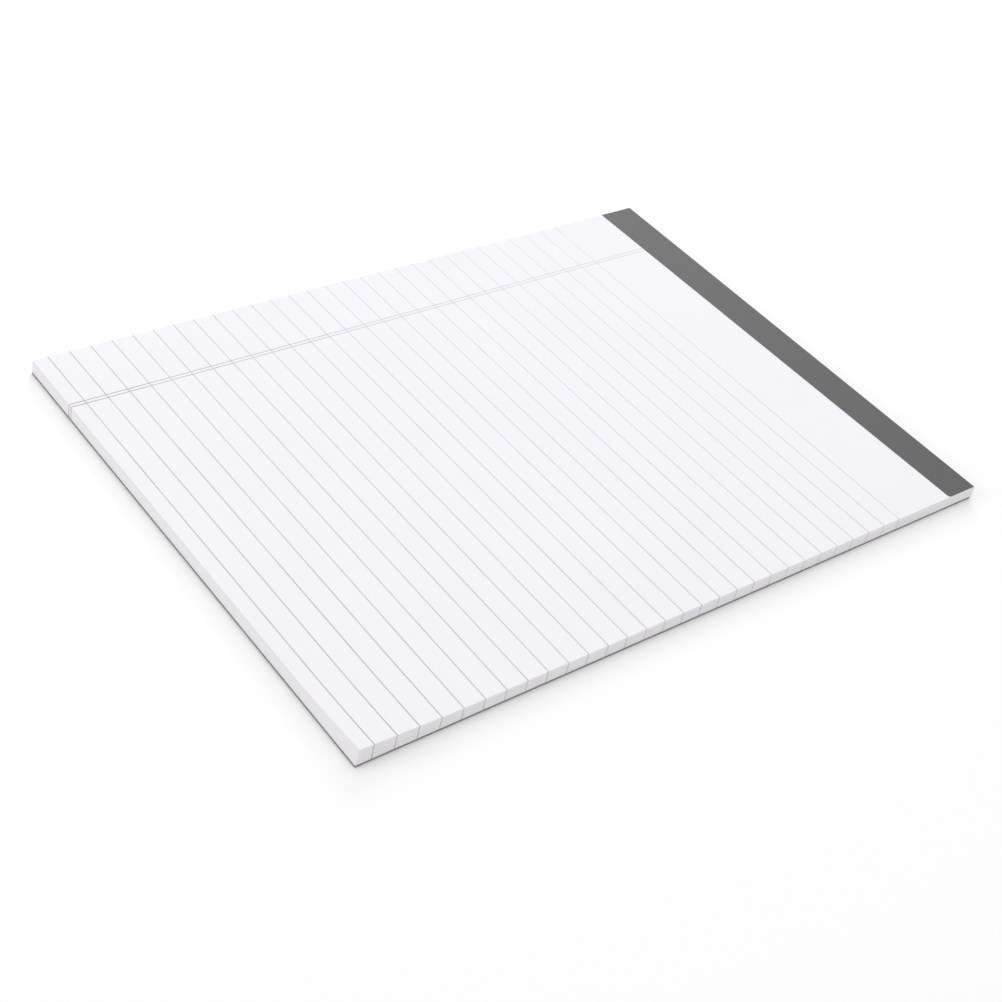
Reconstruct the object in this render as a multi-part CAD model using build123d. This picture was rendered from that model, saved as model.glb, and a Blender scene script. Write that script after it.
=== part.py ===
from build123d import *
import math
import os

# A top-bound legal pad, lying face up on a table.
# x runs from the left side, y from the bottom end towards the head, z up from the table.

# Sheets: trimmed size, count and thickness of one sheet
pad_width = 215.9
pad_length = 298.45
sheet_count = 50
sheet_thickness = 0.105

# Backing board, soft enough for the tape to bed into it a little
board_thickness = 0.8
tape_bedding = 0.03

# Binding tape, folded over the head, and laid a little askew on the top sheet
tape_thickness = 0.18
tape_top_flap_left = 17.1
tape_top_flap_right = 15.2
tape_back_flap = 15.9
tape_corner_radius = 1.4
head_edge_radius = 0.35

# Loose bottom end, where the sheets stand apart a little
fan_rise_left = 0.1
fan_rise_right = 0.75
fan_length = 38.0

# Curled corner, bottom right: it reaches up the side and in along the end
curl_rise = 1.1
curl_reach_up = 45.0
curl_reach_in = 40.0

# Ruled lines, printed across every sheet and cut through at both sides
rule_first = 6.1
rule_spacing = 8.82
rule_width = 0.42
rule_clear_of_tape = 26.0

# Double margin line, printed down every sheet and cut through at the bottom end
margin_from_left = 29.5
margin_gap = 1.6
margin_line_width = 0.36
margin_under_tape = 4.0

# Depth of the printed colour in the paper
ink_depth = 0.06

# Staples of flat wire, pressed flush into paper and board under the tape
staple_count = 3
staple_from_side = 44.0
crown_width = 12.7
clinch_length = 4.5
wire_width = 0.8
wire_thickness = 0.5
wire_bend_radius = 0.5
staple_clearance = 0.03

# Heights of the layers above the table
tape_seat = tape_thickness
board_bottom = tape_seat - tape_bedding
board_top = board_bottom + board_thickness
block_height = sheet_count * sheet_thickness
block_top = board_top + block_height

# Places along the pad
tape_edge_left = pad_length - tape_top_flap_left
tape_edge_right = pad_length - tape_top_flap_right
tape_edge = min(tape_edge_left, tape_edge_right)
staple_line = pad_length - min(tape_top_flap_left, tape_top_flap_right, tape_back_flap) / 2
loose_reach = max(fan_length, curl_reach_up)
rule_count = 1 + math.floor((tape_edge - rule_clear_of_tape - rule_first) / rule_spacing)

# The swell of the loose end starts this far under the flat top, so that it rises out of it cleanly
swell_sink = 0.02
surface_overhang = 4.0
surface_tolerance = 0.002
surface_columns = 26
surface_rows = 9

# How far a block that cuts reaches past what it cuts
cut_overreach = 1.0

# The origin is under the middle of the whole pad, on the table
to_row_frame = Pos(-pad_width / 2, -(pad_length + tape_thickness) / 2, 0)


def block(x0, x1, y0, y1, z0, z1):
    """A rectangular block between two corners."""
    return Pos(x0, y0, z0) * Box(x1 - x0, y1 - y0, z1 - z0, align=Align.MIN)


def loose_end_rise(x, y):
    """How far the top sheet stands above the pressed block near the bottom end."""
    across = min(max(x / pad_width, 0), 1)
    fan_rise = fan_rise_left + (fan_rise_right - fan_rise_left) * across
    fan = max(0, 1 - y / fan_length) ** 2
    curl_up = max(0, 1 - (y / curl_reach_up) ** 2) ** 2
    curl_in = max(0, 1 - (pad_width - x) / curl_reach_in) ** 2
    return fan_rise * fan + curl_rise * curl_up * curl_in


def loose_end_surface():
    """The face of the top sheet over the loose end, a little wider than the pad."""
    width = pad_width + 2 * surface_overhang
    reach = loose_reach + 2 * surface_overhang
    rows = []
    for row in range(surface_rows + 1):
        y = -surface_overhang + reach * row / surface_rows
        points = []
        for column in range(surface_columns + 1):
            x = -surface_overhang + width * column / surface_columns
            points.append((x, y, block_top - swell_sink + loose_end_rise(x, y)))
        rows.append(points)
    return Face.make_surface_from_array_of_points(rows, tol=surface_tolerance)


def plain_sheets():
    """The whole block of sheets before print and staples: pressed at the head, swollen at the bottom end."""
    pressed = block(0, pad_width, 0, pad_length, board_top, block_top)
    head_edge = pressed.edges().filter_by(Axis.X).group_by(Axis.Y)[-1].sort_by(Axis.Z)[-1]
    pressed = fillet(head_edge, head_edge_radius)
    under_surface = extrude(loose_end_surface(), amount=2 * block_height, dir=(0, 0, -1))
    end_room = block(0, pad_width, 0, loose_reach, board_top, block_top + 2 * block_height)
    return pressed + (under_surface & end_room)


def printed_skin(sheets, depth, side_depth, end_depth):
    """The outer layer of the sheets that ink colours: the top to one depth, sides and bottom end to their own."""
    beyond_head = pad_length + cut_overreach
    inside = block(side_depth, pad_width - side_depth, end_depth, beyond_head, 0, 2 * block_top)
    core = (Pos(0, 0, -depth) * sheets) & inside
    return sheets - core


def ruled_lines(sheets):
    """Every ruled line: across the top sheet and down both trimmed sides."""
    skin = printed_skin(sheets, ink_depth, ink_depth, 0)
    x0 = -cut_overreach
    x1 = pad_width + cut_overreach
    bands = []
    for line in range(rule_count):
        y = rule_first + line * rule_spacing
        bands.append(block(x0, x1, y - rule_width / 2, y + rule_width / 2, 0, 2 * block_top))
    return skin & Compound(children=bands)


def margin_lines(sheets, ruling):
    """Both margin lines: down the top sheet, under the ruled lines, and down the trimmed bottom end."""
    skin = printed_skin(sheets, 2 * ink_depth, 0, ink_depth)
    bands = []
    for side in (-1, 1):
        x = margin_from_left + side * margin_gap / 2
        x0 = x - margin_line_width / 2
        x1 = x + margin_line_width / 2
        bands.append(block(x0, x1, -cut_overreach, tape_edge + margin_under_tape, 0, 2 * block_top))
    return (skin & Compound(children=bands)) - ruling


def staple_shape(grow=0.0):
    """One staple, or with grow the slot that it needs: a crown, two legs and two ends clinched inwards."""
    half_crown = (crown_width - wire_thickness) / 2
    crown_height = block_top - wire_thickness / 2
    clinch_height = tape_seat + wire_thickness / 2
    clinch_end = half_crown - clinch_length - grow
    route = FilletPolyline(
        (-clinch_end, clinch_height),
        (-half_crown, clinch_height),
        (-half_crown, crown_height),
        (half_crown, crown_height),
        (half_crown, clinch_height),
        (clinch_end, clinch_height),
        radius=wire_bend_radius,
    )
    outline = trace(route, wire_thickness + 2 * grow)
    return extrude(Plane.XZ * outline, amount=wire_width / 2 + grow, both=True)


def along_staple_line(shape):
    """Copies of a staple or slot, evenly spaced under the tape."""
    first = staple_from_side
    step = (pad_width - 2 * staple_from_side) / (staple_count - 1)
    return [Pos(first + copy * step, staple_line, 0) * shape for copy in range(staple_count)]


def backing_board(slots):
    """The stiff board under the sheets, with the tape's seat and the slots that the staples have pressed."""
    open_part = block(0, pad_width, 0, pad_length - tape_back_flap, board_bottom, board_top)
    taped_part = block(0, pad_width, 0, pad_length, tape_seat, board_top)
    head_edge = taped_part.edges().filter_by(Axis.X).group_by(Axis.Y)[-1].sort_by(Axis.Z)[0]
    return open_part + fillet(head_edge, head_edge_radius) - slots


def binding_tape():
    """One strip folded over the head: on the top sheet, down the head and back under the board."""
    outer_top = block_top + tape_thickness
    outer_head = pad_length + tape_thickness
    back_edge = pad_length - tape_back_flap
    outside = block(0, pad_width, min(tape_edge, back_edge), outer_head, 0, outer_top)
    outside = fillet(outside.edges().filter_by(Axis.X).group_by(Axis.Y)[-1], head_edge_radius + tape_thickness)
    inside = block(-cut_overreach, pad_width + cut_overreach, 0, pad_length, tape_seat, block_top)
    inside = fillet(inside.edges().filter_by(Axis.X).group_by(Axis.Y)[-1], head_edge_radius)
    beyond_edge = Polyline((0, 0), (0, tape_edge_left), (pad_width, tape_edge_right), (pad_width, 0), close=True)
    above_top = Pos(0, 0, board_top) * extrude(make_face(beyond_edge), amount=2 * block_top)
    below_back = block(-cut_overreach, pad_width + cut_overreach, 0, back_edge, -cut_overreach, board_top)
    tape = outside - inside - above_top - below_back
    top_flap_corners = tape.edges().filter_by(Axis.Z).filter_by_position(Axis.Z, block_top, outer_top)
    right_corner = top_flap_corners.group_by(Axis.X)[-1].sort_by(Axis.Y)[0]
    return fillet(right_corner, tape_corner_radius)


def main():
    """Makes each piece of the pad and writes it."""
    sheets = plain_sheets()
    ruling = ruled_lines(sheets)
    margin = margin_lines(sheets, ruling)
    staples = along_staple_line(staple_shape())
    slots = along_staple_line(staple_shape(staple_clearance))
    pieces = {
        "sheets": sheets - ruling - margin - slots,
        "ruled_lines": ruling,
        "margin_lines": margin,
        "backing_board": backing_board(slots),
        "binding_tape": binding_tape(),
        "staples": Compound(children=staples),
    }
    os.makedirs("parts", exist_ok=True)
    for name, piece in pieces.items():
        export_step(to_row_frame * piece, f"parts/{name}.step")


main()
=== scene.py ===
import math
import random

import bmesh
import bpy
from bpy.props import FloatProperty, FloatVectorProperty, IntProperty, PointerProperty
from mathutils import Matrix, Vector


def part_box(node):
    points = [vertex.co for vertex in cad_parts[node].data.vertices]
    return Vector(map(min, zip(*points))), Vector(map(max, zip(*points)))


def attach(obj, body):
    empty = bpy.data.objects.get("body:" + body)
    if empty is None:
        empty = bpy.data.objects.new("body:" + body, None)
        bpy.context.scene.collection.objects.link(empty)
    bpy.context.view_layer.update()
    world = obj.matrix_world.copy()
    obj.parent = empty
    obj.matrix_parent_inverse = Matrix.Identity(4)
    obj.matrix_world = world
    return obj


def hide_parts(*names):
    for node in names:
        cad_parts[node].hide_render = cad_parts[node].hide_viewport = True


bl_info = {
    "name": "Legal Pad",
    "version": (1, 0, 0),
    "blender": (4, 5, 0),
    "location": "View3D > Sidebar > Legal Pad",
    "description": "Makes the sheets of a ruled legal pad and finishes its print, tape, board and staples",
    "category": "Object",
}

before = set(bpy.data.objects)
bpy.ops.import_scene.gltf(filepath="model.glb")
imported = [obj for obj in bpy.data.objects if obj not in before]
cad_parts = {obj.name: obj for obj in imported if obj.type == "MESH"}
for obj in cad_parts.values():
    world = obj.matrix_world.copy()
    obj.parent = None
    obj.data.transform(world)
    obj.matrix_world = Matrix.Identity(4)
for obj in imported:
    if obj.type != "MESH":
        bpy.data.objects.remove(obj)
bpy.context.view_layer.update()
sheets_low, sheets_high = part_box("sheets")
margin_low, margin_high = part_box("margin_lines")
tape_low, tape_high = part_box("binding_tape")

BODY = "root"
MM = 0.001

# The tape is as thick on top as it is beyond the head, and the flat top sheet is right under it
tape_thickness = tape_high.y - sheets_high.y
pressed_top = tape_high.z - tape_thickness

# Each sheet is two layers of faces high, so that a groove can lie between two sheets
LAYERS_PER_SHEET = 2

# The trimmed edges wander the same way at each run, each sheet by this share at least
WANDER_SEED = 7
LEAST_WANDER = 0.2

# A point this near a side of the block lies on it
ON_SIDE = 0.001 * MM

# Faces that meet at a sharper turn keep their edge
SHARP_TURN = math.radians(25)

# Most values of a noise lie between these two
NOISE_LOW = 0.3
NOISE_HIGH = 0.7

# Scale of the paper's fibres, the same on the page and in its print
PAPER_FIBRE_SCALE = 2600.0

# Where a Mix node has its two colours and its result, past its sockets for numbers and vectors
MIX_FIRST = 6
MIX_SECOND = 7
MIX_RESULT = 2

# Each light's place, the point that it faces and the length of its side, in metres
TOP_LIGHT = {"place": (-0.3, 0.1, 1.3), "aim": (-0.3, 0.1, 0), "side": 1.2}
END_LIGHT = {"place": (-0.6, -1.6, 0.8), "aim": (0, -0.1, 0), "side": 0.9}
REAR_LIGHT = {"place": (-1.5, 1.3, 1.1), "aim": (-0.05, 0.1, 0), "side": 0.9}

# The camera's sensor in millimetres, and how near it sees in metres
SENSOR_WIDTH = 36
NEAREST_SEEN = 0.01


def length(name, description, default):
    """A length that a user may change, in metres."""
    return FloatProperty(name=name, description=description, default=default, min=0, unit="LENGTH",
                         precision=5)


def colour(name, description, default):
    """A linear colour that a user may change."""
    return FloatVectorProperty(name=name, description=description, default=default, size=3, min=0, max=1,
                               subtype="COLOR")


def share(name, description, default):
    """A share from none to all."""
    return FloatProperty(name=name, description=description, default=default, min=0, max=1,
                         subtype="FACTOR")


def power(name, description, default):
    """A light's power, in watts."""
    return FloatProperty(name=name, description=description, default=default, min=0, unit="POWER")


class SheetSettings(bpy.types.PropertyGroup):
    """Sizes and colours of the block of sheets."""

    sheet_count: IntProperty(name="Sheets", description="Sheets in the pad", default=50, min=1, max=60)
    fan_rise_left: length("Fan at left", "How far the loose end stands up at the left side", 0.1 * MM)
    fan_rise_right: length("Fan at right", "How far the loose end stands up at the right side", 0.75 * MM)
    fan_length: length("Fan length", "How far the loose end reaches up the page", 38 * MM)
    curl_rise: length("Curl", "How far the bottom right corner curls up beyond the fan", 1.1 * MM)
    curl_reach_up: length("Curl reach up", "How far the curl reaches up the side", 45 * MM)
    curl_reach_in: length("Curl reach in", "How far the curl reaches in along the end", 40 * MM)
    corner_draw: length("Corner draw", "How far the curl draws the top sheet back from the end", 0.7 * MM)
    swell_sink: length("Swell sink", "How far under the flat top the swell starts", 0.02 * MM)
    print_stands: length("Print stands", "How far the print stands above the top sheet", 0.03 * MM)
    head_fold: length("Head fold", "Radius that the tape presses on the head's top edge", 0.35 * MM)
    groove: length("Groove", "Depth of the groove between two sheets", 0.015 * MM)
    trim_wander: length("Trim wander", "How far a sheet's edge may lie inside the trimmed side", 0.014 * MM)
    fine_cell: length("Fine cell", "Mesh cell over the loose end and the curl", 1.9 * MM)
    plain_cell: length("Plain cell", "Mesh cell over the rest", 4.4 * MM)
    page_colour: colour("Page", "Colour of the top sheet", (0.868, 0.858, 0.902))
    edge_colour: colour("Edges", "Colour of the trimmed edges", (0.875, 0.86, 0.895))
    streak: share("Streaks", "Strength of the tone changes from sheet to sheet along the edges", 0.1)


class PrintSettings(bpy.types.PropertyGroup):
    """Colours of the printed lines."""

    ruling_colour: colour("Ruling", "Ink of the ruled lines", (0.41, 0.41, 0.445))
    margin_colour: colour("Margin", "Ink of the double margin line", (0.25, 0.225, 0.25))
    paper_colour: colour("Paper", "Paper that shows through thin ink", (0.868, 0.858, 0.902))
    thin_ink: share("Thin ink", "How much paper shows where the ink is thin", 0.22)
    edge_ink: share("Ink at the edges", "How much paper shows where the print is cut through", 0.15)
    fade_up: share("Fade up the page", "How much lighter the print is at the head", 0.42)
    fade_left: share("Fade to the left", "How much lighter the print is at the left", 0.12)
    fade_corner: share("Fade at the far corner", "How much lighter still it is at the head on the left",
                       0.2)
    margin_width: length("Margin width", "Width of each margin line, which shows through the ruled lines",
                         0.36 * MM)
    overprint: share("Overprint", "How much darker both inks are where they cross", 0.75)


class TapeSettings(bpy.types.PropertyGroup):
    """Colours of the binding tape."""

    tape_colour: colour("Tape", "Colour of the tape", (0.0845, 0.084, 0.0875))
    fibre_colour: colour("Fibres", "Colour of the tape's lighter fibres", (0.108, 0.1075, 0.1115))
    # The fold colour is a painted highlight along the tape's fold over the head, and the fold reach is how
    # far that painted highlight reaches onto each flap
    fold_highlight_colour: colour("Fold", "Colour where the fold is rubbed", (0.16, 0.16, 0.163))
    fold_reach: length("Fold reach", "How far the rubbed fold reaches onto the flap", 0.9 * MM)


class BoardSettings(bpy.types.PropertyGroup):
    """Colours of the backing board."""

    board_colour: colour("Board", "Colour of the board", (0.283, 0.27, 0.256))
    dark_fleck: colour("Dark flecks", "Colour of the dark fibres", (0.14, 0.125, 0.11))
    light_fleck: colour("Light flecks", "Colour of the light fibres", (0.42, 0.395, 0.36))


class StapleSettings(bpy.types.PropertyGroup):
    """Colours of the staples."""

    wire_colour: colour("Wire", "Colour of the wire", (0.58, 0.58, 0.57))
    drawn_colour: colour("Drawn streaks", "Colour of the streaks left by drawing the wire",
                         (0.44, 0.44, 0.44))


class StageSettings(bpy.types.PropertyGroup):
    """Floor, light and camera."""

    floor_colour: colour("Floor", "Colour of the floor", (0.97, 0.97, 0.97))
    floor_size: length("Floor size", "Side of the floor", 14.0)
    sky: FloatProperty(name="Sky", description="Strength of the even light", default=0.72, min=0)
    top_power: power("Top light", "Power of the light overhead", 5)
    end_power: power("End light", "Power of the light before the bottom end", 4)
    rear_power: power("Rear light", "Power of the light beyond the head", 9)
    camera_place: FloatVectorProperty(name="Camera", description="Place of the camera", size=3,
                                      default=(0.3829, -0.405193, 0.425175), subtype="TRANSLATION")
    camera_turn: FloatVectorProperty(name="Camera turn", description="Turn of the camera", size=3,
                                     default=(0.868459, -0.189448, 0.916155), subtype="EULER")
    camera_lens: FloatProperty(name="Lens", description="Focal length in millimetres", default=65.201,
                               min=1)


def put(tree, socket, value):
    """Sets a socket, or links it when the value is an output."""
    if isinstance(value, bpy.types.NodeSocket):
        tree.links.new(value, socket)
    elif socket.type == "RGBA" and len(value) == 3:
        socket.default_value = (*value, 1)
    else:
        socket.default_value = value


def put_named(tree, node, sockets):
    """Fills a node's sockets by their names, in which an underscore stands for a space."""
    for name, value in sockets.items():
        put(tree, node.inputs[name.replace("_", " ")], value)


def add_node(tree, kind, **sockets):
    """Adds a node to a tree. A socket takes a value, or another node's output that is linked to it."""
    node = tree.nodes.new(kind)
    put_named(tree, node, sockets)
    return node


def add_math(tree, operation, *values):
    """A math node's output."""
    node = tree.nodes.new("ShaderNodeMath")
    node.operation = operation
    for socket, value in zip(node.inputs, values):
        put(tree, socket, value)
    return node.outputs[0]


def add_weighted(tree, first, second, first_share):
    """The sum of two values, each times its share of the whole."""
    first_part = add_math(tree, "MULTIPLY", first, first_share)
    second_part = add_math(tree, "MULTIPLY", second, 1 - first_share)
    return add_math(tree, "ADD", first_part, second_part)


def add_mix(tree, mask, first, second):
    """Mixes two colours by a mask."""
    node = tree.nodes.new("ShaderNodeMix")
    node.data_type = "RGBA"
    put(tree, node.inputs["Factor"], mask)
    put(tree, node.inputs[MIX_FIRST], first)
    put(tree, node.inputs[MIX_SECOND], second)
    return node.outputs[MIX_RESULT]


def add_range(tree, value, low, high, to_low=0.0, to_high=1.0):
    """Maps a value's range onto another, and holds it inside."""
    node = add_node(tree, "ShaderNodeMapRange", Value=value, From_Min=low, From_Max=high, To_Min=to_low,
                    To_Max=to_high)
    return node.outputs["Result"]


def add_spread(tree, noise, to_low=0.0, to_high=1.0):
    """Maps the values that a noise mostly has onto a range."""
    return add_range(tree, noise, NOISE_LOW, NOISE_HIGH, to_low, to_high)


def add_noise(tree, vector, scale, detail=3.0, roughness=0.55):
    """A noise texture's value."""
    node = add_node(tree, "ShaderNodeTexNoise", Vector=vector, Scale=scale, Detail=detail,
                    Roughness=roughness)
    return node.outputs["Fac"]


def add_stretch(tree, vector, scale):
    """A vector with each of its axes scaled."""
    return add_node(tree, "ShaderNodeMapping", Vector=vector, Scale=scale).outputs["Vector"]


def split_vector(tree, vector):
    """A vector's X, Y and Z, as outputs."""
    return add_node(tree, "ShaderNodeSeparateXYZ", Vector=vector).outputs


def dimmed(full_colour, kept):
    """A colour with only a share of its light kept."""
    return [kept * channel for channel in full_colour]


def new_group(name, inputs, outputs):
    """An empty shader node group with named sockets: (name, kind, default) in, (name, kind) out."""
    group = bpy.data.node_groups.new(name, "ShaderNodeTree")
    for socket_name, kind, default in inputs:
        socket = group.interface.new_socket(socket_name, in_out="INPUT", socket_type=kind)
        if default is not None:
            socket.default_value = default
    for socket_name, kind in outputs:
        group.interface.new_socket(socket_name, in_out="OUTPUT", socket_type=kind)
    return group, group.nodes.new("NodeGroupInput").outputs, group.nodes.new("NodeGroupOutput").inputs


def fibre_group():
    """Felted fibres: a fine grain, and the cloudy tone of a sheet held to the light."""
    group, given, out = new_group(
        "Felted fibres",
        [
            ("Vector", "NodeSocketVector", None),
            ("Fibre Scale", "NodeSocketFloat", 2400.0),
            ("Fibre Stretch", "NodeSocketFloat", 0.35),
            ("Cloud Scale", "NodeSocketFloat", 28.0),
        ],
        [("Fibre", "NodeSocketFloat"), ("Cloud", "NodeSocketFloat")],
    )
    stretch = add_node(group, "ShaderNodeCombineXYZ", X=1.0, Y=given["Fibre Stretch"], Z=1.0)
    laid = group.nodes.new("ShaderNodeVectorMath")
    laid.operation = "MULTIPLY"
    put(group, laid.inputs[0], given["Vector"])
    put(group, laid.inputs[1], stretch.outputs["Vector"])
    lengthwise = add_noise(group, laid.outputs["Vector"], given["Fibre Scale"], detail=4.0, roughness=0.6)
    crosswise = add_noise(group, given["Vector"], given["Fibre Scale"], detail=2.0, roughness=0.5)
    cloud = add_noise(group, given["Vector"], given["Cloud Scale"], detail=3.0, roughness=0.5)
    put(group, out["Fibre"], add_weighted(group, lengthwise, crosswise, first_share=0.65))
    put(group, out["Cloud"], cloud)
    return group


def cut_side_group():
    """Mask of the upright cut sides, from a surface's normal."""
    group, given, out = new_group(
        "Cut side",
        [("Normal", "NodeSocketVector", None)],
        [("Mask", "NodeSocketFloat")],
    )
    level = 0.85
    upright = 0.7
    levelness = add_math(group, "ABSOLUTE", split_vector(group, given["Normal"])["Z"])
    put(group, out["Mask"], add_range(group, levelness, level, upright))
    return group


def fade_group():
    """Mask of the paper that shows through the print, more towards the head and the left: least bottom
    right, most top left.
    """
    group, given, out = new_group(
        "Print paling",
        [
            ("Vector", "NodeSocketVector", None),
            ("Up", "NodeSocketFloat", 0.3),
            ("Left", "NodeSocketFloat", 0.1),
            ("Corner", "NodeSocketFloat", 0.2),
        ],
        [("Mask", "NodeSocketFloat")],
    )
    place = split_vector(group, given["Vector"])
    up = add_math(group, "SQRT", add_range(group, place["Y"], sheets_low.y, sheets_high.y))
    left = add_range(group, place["X"], sheets_high.x, sheets_low.x)
    most_up = add_math(group, "ADD", given["Up"], add_math(group, "MULTIPLY", left, given["Corner"]))
    up_fade = add_math(group, "MULTIPLY", up, most_up)
    left_fade = add_math(group, "MULTIPLY", left, given["Left"])
    put(group, out["Mask"], add_math(group, "ADD", up_fade, left_fade))
    return group


def layer_group():
    """Tone that changes from layer to layer along a cut side, and slowly along each layer."""
    group, given, out = new_group(
        "Cut layers",
        [
            ("Vector", "NodeSocketVector", None),
            ("Layer", "NodeSocketFloat", 0.0),
            ("Run", "NodeSocketFloat", 14.0),
        ],
        [("Streak", "NodeSocketFloat"), ("Bundle", "NodeSocketFloat")],
    )
    place = split_vector(group, given["Vector"])
    along_x = add_math(group, "MULTIPLY", place["X"], given["Run"])
    along_y = add_math(group, "MULTIPLY", place["Y"], given["Run"])
    on_layer = add_node(group, "ShaderNodeCombineXYZ", X=along_x, Y=along_y, Z=given["Layer"])
    streak = add_noise(group, on_layer.outputs["Vector"], 1.7, detail=1.0, roughness=0.4)
    bundle = add_noise(group, on_layer.outputs["Vector"], 0.21, detail=2.0, roughness=0.5)
    put(group, out["Streak"], streak)
    put(group, out["Bundle"], bundle)
    return group


GROUP_MAKERS = {
    "Felted fibres": fibre_group,
    "Cut side": cut_side_group,
    "Cut layers": layer_group,
    "Print paling": fade_group,
}


def use_group(tree, name, **sockets):
    """Places a shader node group in a material, making the group the first time."""
    group = bpy.data.node_groups.get(name) or GROUP_MAKERS[name]()
    node = tree.nodes.new("ShaderNodeGroup")
    node.node_tree = group
    put_named(tree, node, sockets)
    return node.outputs


def new_material(name):
    """A material with its node tree, its Principled shader and Object coordinates."""
    material = bpy.data.materials.new(name)
    material.use_nodes = True
    tree = material.node_tree
    shader = tree.nodes["Principled BSDF"]
    place = tree.nodes.new("ShaderNodeTexCoord").outputs["Object"]
    return material, tree, shader, place


def cut_sides(tree):
    """Mask of a piece's upright cut sides."""
    normal = tree.nodes.new("ShaderNodeNewGeometry").outputs["Normal"]
    return use_group(tree, "Cut side", Normal=normal)["Mask"]


def add_bump(tree, shader, height, strength, depth):
    """Small relief in a surface's normal."""
    bump = add_node(tree, "ShaderNodeBump", Height=height, Strength=strength, Distance=depth)
    put(tree, shader.inputs["Normal"], bump.outputs["Normal"])


def wear(node_name, material):
    """Gives a CAD node its finish in place of the plain one."""
    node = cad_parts[node_name]
    for slot in node.material_slots:
        slot.material = material


def paper_material(settings):
    """White writing paper: felted grain on the page, streaks from sheet to sheet along its edges."""
    material, tree, shader, place = new_material("white_paper")
    fibres = use_group(tree, "Felted fibres", Vector=place, Fibre_Scale=PAPER_FIBRE_SCALE,
                       Cloud_Scale=24.0)
    sheet = add_node(tree, "ShaderNodeAttribute")
    sheet.attribute_name = "sheet"
    layers = use_group(tree, "Cut layers", Vector=place, Layer=sheet.outputs["Fac"], Run=16.0)
    cloud_colour = dimmed(settings.page_colour, 0.985)
    speck_colour = dimmed(settings.page_colour, 0.94)
    clouded = add_mix(tree, add_spread(tree, fibres["Cloud"]), cloud_colour, settings.page_colour)
    page = add_mix(tree, add_range(tree, fibres["Fibre"], 0.62, 0.8, to_high=0.6), clouded, speck_colour)
    tone = add_weighted(tree, layers["Streak"], layers["Bundle"], first_share=0.6)
    streak_colour = dimmed(settings.edge_colour, 1 - settings.streak)
    edge = add_mix(tree, add_range(tree, tone, 0.36, 0.62), streak_colour, settings.edge_colour)
    put(tree, shader.inputs["Base Color"], add_mix(tree, cut_sides(tree), page, edge))
    put(tree, shader.inputs["Roughness"], add_spread(tree, fibres["Fibre"], 0.72, 0.9))
    shader.inputs["Specular IOR Level"].default_value = 0.3
    add_bump(tree, shader, fibres["Fibre"], strength=0.25, depth=0.06 * MM)
    return material


def overprinted(tree, place, ink, settings):
    """The ruling ink, darkened where the double margin line lies under it."""
    middle = (margin_low.x + margin_high.x) / 2
    outer = (margin_high.x - margin_low.x) / 2
    inner = outer - settings.margin_width
    from_middle = add_math(tree, "SUBTRACT", split_vector(tree, place)["X"], middle)
    distance = add_math(tree, "ABSOLUTE", from_middle)
    past_inner = add_math(tree, "GREATER_THAN", distance, inner)
    before_outer = add_math(tree, "LESS_THAN", distance, outer)
    on_margin = add_math(tree, "MULTIPLY", past_inner, before_outer)
    channels = zip(ink, settings.margin_colour, settings.paper_colour)
    both_inks = [ruled * margin / paper for ruled, margin, paper in channels]
    return add_mix(tree, add_math(tree, "MULTIPLY", on_margin, settings.overprint), ink, both_inks)


def ink_material(name, ink, settings, crosses_margin):
    """Printing ink soaked into paper: thinner in places, and paler where it is cut through."""
    material, tree, shader, place = new_material(name)
    if crosses_margin:
        ink = overprinted(tree, place, ink, settings)
    fibres = use_group(tree, "Felted fibres", Vector=place, Fibre_Scale=PAPER_FIBRE_SCALE,
                       Cloud_Scale=60.0)
    thin = add_range(tree, fibres["Cloud"], 0.35, 0.7, to_high=settings.thin_ink)
    speck = add_range(tree, fibres["Fibre"], 0.55, 0.7, to_high=0.25)
    cut = add_math(tree, "MULTIPLY", cut_sides(tree), settings.edge_ink)
    bare = add_math(tree, "MAXIMUM", add_math(tree, "ADD", thin, speck), cut)
    # The print is made paler towards the head and the left
    faded = use_group(tree, "Print paling", Vector=place, Up=settings.fade_up, Left=settings.fade_left,
                      Corner=settings.fade_corner)["Mask"]
    covered = add_math(tree, "SUBTRACT", 1.0, bare)
    kept_ink = add_math(tree, "SUBTRACT", 1.0, faded)
    inked = add_math(tree, "MULTIPLY", covered, kept_ink)
    put(tree, shader.inputs["Base Color"], add_mix(tree, inked, settings.paper_colour, ink))
    put(tree, shader.inputs["Roughness"], add_spread(tree, fibres["Fibre"], 0.7, 0.88))
    shader.inputs["Specular IOR Level"].default_value = 0.3
    add_bump(tree, shader, fibres["Fibre"], strength=0.2, depth=0.05 * MM)
    return material


def painted_fold_highlight(tree, place, fold_reach):
    """Mask of the painted highlight along the tape's fold over the head, near its top and bottom edges."""
    parts = split_vector(tree, place)
    beyond = add_range(tree, parts["Y"], tape_high.y - fold_reach, tape_high.y)
    over = add_range(tree, parts["Z"], tape_high.z - fold_reach, tape_high.z)
    under = add_range(tree, parts["Z"], tape_low.z + fold_reach, tape_low.z)
    return add_math(tree, "MULTIPLY", beyond, add_math(tree, "MAXIMUM", over, under))


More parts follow.
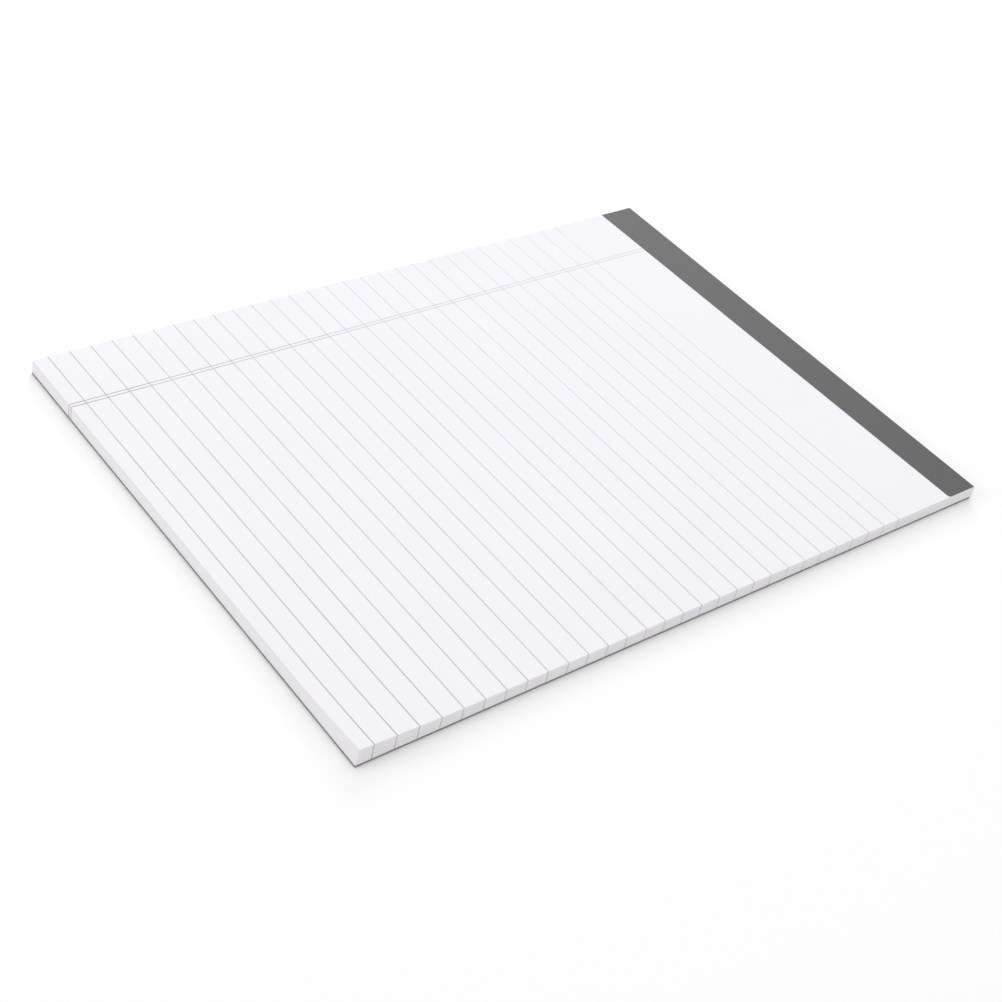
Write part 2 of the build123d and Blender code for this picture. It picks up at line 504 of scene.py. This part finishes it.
def tape_material(settings):
    """Dark binding tape of coated paper: fine fibres, a faint sheen and a painted highlight along its fold
    over the head.
    """
    material, tree, shader, place = new_material("binding_tape")
    fibres = use_group(tree, "Felted fibres", Vector=place, Fibre_Scale=1500.0, Fibre_Stretch=2.6,
                       Cloud_Scale=45.0)
    fold = painted_fold_highlight(tree, place, settings.fold_reach)
    uneven = add_range(tree, fibres["Fibre"], 0.4, 0.7, to_low=0.1, to_high=0.6)
    highlit = add_math(tree, "MULTIPLY", fold, uneven)
    tone = add_weighted(tree, fibres["Fibre"], fibres["Cloud"], first_share=0.7)
    tone_low = 0.35
    tone_high = 0.65
    lighter = add_range(tree, tone, tone_low, tone_high)
    body = add_mix(tree, lighter, settings.tape_colour, settings.fibre_colour)
    rougher = add_range(tree, tone, tone_low, tone_high, to_low=0.46, to_high=0.6)
    # The fold is lightened by a painted highlight, uneven along the fibres
    put(tree, shader.inputs["Base Color"], add_mix(tree, highlit, body, settings.fold_highlight_colour))
    put(tree, shader.inputs["Roughness"], rougher)
    shader.inputs["Specular IOR Level"].default_value = 0.45
    add_bump(tree, shader, tone, strength=0.3, depth=0.08 * MM)
    return material


def board_material(settings):
    """Grey chipboard: pressed waste fibres, light and dark flecks, and plies along the cut edge."""
    material, tree, shader, place = new_material("grey_board")
    fibres = use_group(tree, "Felted fibres", Vector=place, Fibre_Scale=1100.0, Fibre_Stretch=0.45,
                       Cloud_Scale=35.0)
    layers_per_metre = 5200.0
    ply = add_math(tree, "MULTIPLY", split_vector(tree, place)["Z"], layers_per_metre)
    plies = use_group(tree, "Cut layers", Vector=place, Layer=ply, Run=220.0)
    pressed_place = add_stretch(tree, place, (1.0, 0.3, 1.0))
    flecks = add_noise(tree, pressed_place, 900.0, detail=2.0, roughness=0.7)
    light = add_range(tree, flecks, 0.64, 0.74)
    dark = add_range(tree, fibres["Fibre"], 0.40, 0.30)
    cloud_colour = dimmed(settings.board_colour, 0.88)
    ply_colour = dimmed(settings.board_colour, 0.77)
    body = add_mix(tree, add_spread(tree, fibres["Cloud"]), cloud_colour, settings.board_colour)
    flecked = add_mix(tree, light, add_mix(tree, dark, body, settings.dark_fleck), settings.light_fleck)
    edge = add_mix(tree, add_range(tree, plies["Streak"], 0.4, 0.6), ply_colour, settings.board_colour)
    put(tree, shader.inputs["Base Color"], add_mix(tree, cut_sides(tree), flecked, edge))
    put(tree, shader.inputs["Roughness"], add_spread(tree, fibres["Fibre"], 0.82, 0.95))
    shader.inputs["Specular IOR Level"].default_value = 0.25
    add_bump(tree, shader, fibres["Fibre"], strength=0.5, depth=0.12 * MM)
    return material


def wire_material(settings):
    """Flat drawn steel wire, streaked along its length."""
    material, tree, shader, place = new_material("staple_wire")
    drawn_place = add_stretch(tree, place, (0.05, 1.0, 1.0))
    streaks = add_noise(tree, drawn_place, 9000.0, detail=2.0, roughness=0.6)
    bright = add_range(tree, streaks, 0.35, 0.65)
    wire = add_mix(tree, bright, settings.drawn_colour, settings.wire_colour)
    put(tree, shader.inputs["Base Color"], wire)
    put(tree, shader.inputs["Roughness"], add_spread(tree, streaks, 0.28, 0.45))
    shader.inputs["Metallic"].default_value = 1.0
    add_bump(tree, shader, streaks, strength=0.2, depth=0.02 * MM)
    return material


def deselect_all():
    """Leaves nothing selected."""
    if bpy.context.object and bpy.context.object.mode != "OBJECT":
        bpy.ops.object.mode_set(mode="OBJECT")
    bpy.ops.object.select_all(action="DESELECT")


def graded_line(low, high, fine_end, fine_reach, fine_cell, plain_cell):
    """Places along a side, closer together over the reach at one of its ends."""
    fine_count = math.ceil(fine_reach / fine_cell)
    plain_reach = high - low - fine_reach
    plain_count = math.ceil(plain_reach / plain_cell)
    from_fine = [fine_reach * i / fine_count for i in range(fine_count)]
    from_fine += [fine_reach + plain_reach * i / plain_count for i in range(plain_count + 1)]
    if fine_end == "low":
        return [low + place for place in from_fine]
    return [high - place for place in reversed(from_fine)]


def curl_share(x, y, settings):
    """Share of the corner's curl: all at the bottom right corner, none beyond the curl's reach."""
    up = max(0, 1 - ((y - sheets_low.y) / settings.curl_reach_up) ** 2) ** 2
    inward = max(0, 1 - (sheets_high.x - x) / settings.curl_reach_in) ** 2
    return up * inward


def loose_end_rise(x, y, settings):
    """How far the top sheet stands above the pressed block near the bottom end."""
    width = sheets_high.x - sheets_low.x
    from_left = min(max((x - sheets_low.x) / width, 0), 1)
    from_end = y - sheets_low.y
    fan_rise = settings.fan_rise_left + (settings.fan_rise_right - settings.fan_rise_left) * from_left
    fan = max(0, 1 - from_end / settings.fan_length) ** 2
    curl = settings.curl_rise * curl_share(x, y, settings)
    return max(0, fan_rise * fan + curl - settings.swell_sink)


def add_sheet_grid(columns, rows):
    """A flat grid at the board's face, with its lines at the given places."""
    column_count = len(columns) - 1
    row_count = len(rows) - 1
    deselect_all()
    bpy.ops.mesh.primitive_grid_add(x_subdivisions=column_count, y_subdivisions=row_count, size=2,
                                    location=(0, 0, 0))
    stack = bpy.context.object
    stack.name = stack.data.name = "sheet_stack"
    for vertex in stack.data.vertices:
        column = round((vertex.co.x + 1) / 2 * column_count)
        row = round((vertex.co.y + 1) / 2 * row_count)
        vertex.co = (columns[column], rows[row], sheets_low.z)
    return stack


def raise_layers(stack, layer_count, height):
    """Extrudes the grid to the block's height and divides its sides into layers."""
    bpy.ops.object.mode_set(mode="EDIT")
    bpy.ops.mesh.select_all(action="SELECT")
    bpy.ops.mesh.extrude_region_move(TRANSFORM_OT_translate={"value": (0, 0, height)})
    bpy.ops.mesh.select_mode(type="EDGE")
    bpy.ops.mesh.select_all(action="DESELECT")
    mesh = bmesh.from_edit_mesh(stack.data)
    for edge in mesh.edges:
        edge.select_set(abs(edge.verts[0].co.z - edge.verts[1].co.z) > height / 2)
    bmesh.update_edit_mesh(stack.data)
    bpy.ops.mesh.subdivide_edgering(number_cuts=layer_count - 1, interpolation="LINEAR", smoothness=0)
    bpy.ops.mesh.select_all(action="SELECT")
    bpy.ops.mesh.normals_make_consistent(inside=False)
    bpy.ops.object.mode_set(mode="OBJECT")


def shape_layers(stack, settings, layer_count, height):
    """Cuts the grooves between sheets, rounds the head and lifts the loose end."""
    draw = random.Random(WANDER_SEED)
    edge_count = settings.sheet_count + 1
    wander = [draw.uniform(LEAST_WANDER, 1.0) * settings.trim_wander for _ in range(edge_count)]
    top_layer = pressed_top - settings.print_stands
    sheet_of_point = []
    for vertex in stack.data.vertices:
        layer = round((vertex.co.z - sheets_low.z) / height * layer_count)
        x, y = vertex.co.x, vertex.co.y
        inset = wander[layer // LAYERS_PER_SHEET]
        if layer % LAYERS_PER_SHEET == 0 and 0 < layer < layer_count:
            inset += settings.groove
        if abs(x) > sheets_high.x - ON_SIDE:
            x = math.copysign(sheets_high.x - inset, x)
        if y < sheets_low.y + ON_SIDE:
            y = sheets_low.y + inset
            y += settings.corner_draw * curl_share(x, y, settings) * layer / layer_count
        z = sheets_low.z + (top_layer - sheets_low.z) * layer / layer_count
        if y > sheets_high.y - ON_SIDE:
            over_fold = max(0, z - (pressed_top - settings.head_fold))
            y += math.sqrt(settings.head_fold ** 2 - over_fold ** 2) - settings.head_fold
        z += loose_end_rise(x, y, settings) * layer / layer_count
        vertex.co = (x, y, z)
        sheet_of_point.append(layer / LAYERS_PER_SHEET)
    sheet = stack.data.attributes.new("sheet", "FLOAT", "POINT")
    sheet.data.foreach_set("value", sheet_of_point)


class MakeSheets(bpy.types.Operator):
    """Makes the block of sheets, grooved between sheets and lifted at its loose end"""

    bl_idname = "legal_pad.make_sheets"
    bl_label = "Sheets"

    def execute(self, context):
        settings = context.scene.legal_pad_sheets
        columns = graded_line(sheets_low.x, sheets_high.x, "high", settings.curl_reach_in,
                              settings.fine_cell, settings.plain_cell)
        loose_reach = max(settings.fan_length, settings.curl_reach_up)
        rows = graded_line(sheets_low.y, sheets_high.y, "low", loose_reach, settings.fine_cell,
                           settings.plain_cell)
        layer_count = LAYERS_PER_SHEET * settings.sheet_count
        height = pressed_top - sheets_low.z
        stack = add_sheet_grid(columns, rows)
        raise_layers(stack, layer_count, height)
        shape_layers(stack, settings, layer_count, height)
        bpy.ops.object.shade_smooth_by_angle(angle=SHARP_TURN)
        stack.data.materials.append(paper_material(settings))
        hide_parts("sheets")
        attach(stack, BODY)
        return {"FINISHED"}


class FinishPrint(bpy.types.Operator):
    """Inks the ruled lines and the double margin line"""

    bl_idname = "legal_pad.finish_print"
    bl_label = "Print"

    def execute(self, context):
        settings = context.scene.legal_pad_print
        wear("ruled_lines", ink_material("grey_ink", settings.ruling_colour, settings, True))
        wear("margin_lines", ink_material("margin_ink", settings.margin_colour, settings, False))
        return {"FINISHED"}


class FinishTape(bpy.types.Operator):
    """Finishes the binding tape"""

    bl_idname = "legal_pad.finish_tape"
    bl_label = "Binding tape"

    def execute(self, context):
        wear("binding_tape", tape_material(context.scene.legal_pad_tape))
        return {"FINISHED"}


class FinishBoard(bpy.types.Operator):
    """Finishes the backing board"""

    bl_idname = "legal_pad.finish_board"
    bl_label = "Backing board"

    def execute(self, context):
        wear("backing_board", board_material(context.scene.legal_pad_board))
        return {"FINISHED"}


class FinishStaples(bpy.types.Operator):
    """Finishes the staples"""

    bl_idname = "legal_pad.finish_staples"
    bl_label = "Staples"

    def execute(self, context):
        wear("staples", wire_material(context.scene.legal_pad_staples))
        return {"FINISHED"}


def floor_material(settings):
    """A plain pale floor with the faintest tone."""
    material, tree, shader, place = new_material("pale_floor")
    tone = add_spread(tree, add_noise(tree, place, 3.0))
    cloud_colour = dimmed(settings.floor_colour, 0.995)
    put(tree, shader.inputs["Base Color"], add_mix(tree, tone, cloud_colour, settings.floor_colour))
    shader.inputs["Roughness"].default_value = 0.9
    shader.inputs["Specular IOR Level"].default_value = 0.1
    return material


def add_floor(settings):
    """The floor that the pad lies on."""
    deselect_all()
    bpy.ops.mesh.primitive_plane_add(size=settings.floor_size, location=(0, 0, 0))
    floor = bpy.context.object
    floor.name = floor.data.name = "floor"
    floor.data.materials.append(floor_material(settings))


def add_area_light(name, light_power, place, aim, side):
    """A square soft light that faces a point."""
    light = bpy.data.lights.new(name, "AREA")
    light.shape = "SQUARE"
    light.size = side
    light.energy = light_power
    lamp = bpy.data.objects.new(name, light)
    lamp.location = place
    lamp.rotation_euler = (Vector(aim) - Vector(place)).to_track_quat("-Z", "Y").to_euler()
    bpy.context.scene.collection.objects.link(lamp)


def set_sky(strength):
    """Even light from all round, as pale as the far floor, so that the floor runs into it."""
    world = bpy.data.worlds.new("studio")
    bpy.context.scene.world = world
    world.use_nodes = True
    background = world.node_tree.nodes["Background"]
    background.inputs["Color"].default_value = (1, 1, 1, 1)
    background.inputs["Strength"].default_value = strength


def add_camera(settings):
    """The camera that the scene is seen through."""
    camera = bpy.data.objects.new("camera", bpy.data.cameras.new("camera"))
    camera.data.lens = settings.camera_lens
    camera.data.sensor_width = SENSOR_WIDTH
    camera.data.clip_start = NEAREST_SEEN
    camera.location = settings.camera_place
    camera.rotation_euler = settings.camera_turn
    bpy.context.scene.collection.objects.link(camera)
    bpy.context.scene.camera = camera


class SetStage(bpy.types.Operator):
    """Lays the floor and sets the light and the camera"""

    bl_idname = "legal_pad.set_stage"
    bl_label = "Stage"

    def execute(self, context):
        settings = context.scene.legal_pad_stage
        add_floor(settings)
        set_sky(settings.sky)
        add_area_light("top_light", settings.top_power, **TOP_LIGHT)
        add_area_light("end_light", settings.end_power, **END_LIGHT)
        add_area_light("rear_light", settings.rear_power, **REAR_LIGHT)
        add_camera(settings)
        context.scene.view_settings.view_transform = "Standard"
        return {"FINISHED"}


SETTINGS = {
    "legal_pad_sheets": SheetSettings,
    "legal_pad_print": PrintSettings,
    "legal_pad_tape": TapeSettings,
    "legal_pad_board": BoardSettings,
    "legal_pad_staples": StapleSettings,
    "legal_pad_stage": StageSettings,
}
OPERATORS = (MakeSheets, FinishPrint, FinishTape, FinishBoard, FinishStaples, SetStage)


class LegalPadPanel(bpy.types.Panel):
    """Lists the pad's pieces and their sizes and colours"""

    bl_idname = "VIEW3D_PT_legal_pad"
    bl_label = "Legal Pad"
    bl_space_type = "VIEW_3D"
    bl_region_type = "UI"
    bl_category = "Legal Pad"

    def draw(self, context):
        for operator, name in zip(OPERATORS, SETTINGS):
            box = self.layout.box()
            box.operator(operator.bl_idname)
            group = getattr(context.scene, name)
            for key in group.bl_rna.properties.keys():
                if key not in ("rna_type", "name"):
                    box.prop(group, key)


def register():
    """Registers the settings, the operators and the panel."""
    for name, group in SETTINGS.items():
        bpy.utils.register_class(group)
        setattr(bpy.types.Scene, name, PointerProperty(type=group))
    for kind in (*OPERATORS, LegalPadPanel):
        bpy.utils.register_class(kind)


def unregister():
    """Takes away all that register adds."""
    for kind in (LegalPadPanel, *reversed(OPERATORS)):
        bpy.utils.unregister_class(kind)
    for name, group in SETTINGS.items():
        delattr(bpy.types.Scene, name)
        bpy.utils.unregister_class(group)


def main():
    """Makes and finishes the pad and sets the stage."""
    register()
    bpy.ops.legal_pad.make_sheets()
    bpy.ops.legal_pad.finish_print()
    bpy.ops.legal_pad.finish_tape()
    bpy.ops.legal_pad.finish_board()
    bpy.ops.legal_pad.finish_staples()
    bpy.ops.legal_pad.set_stage()


if __name__ == "__main__":
    main()
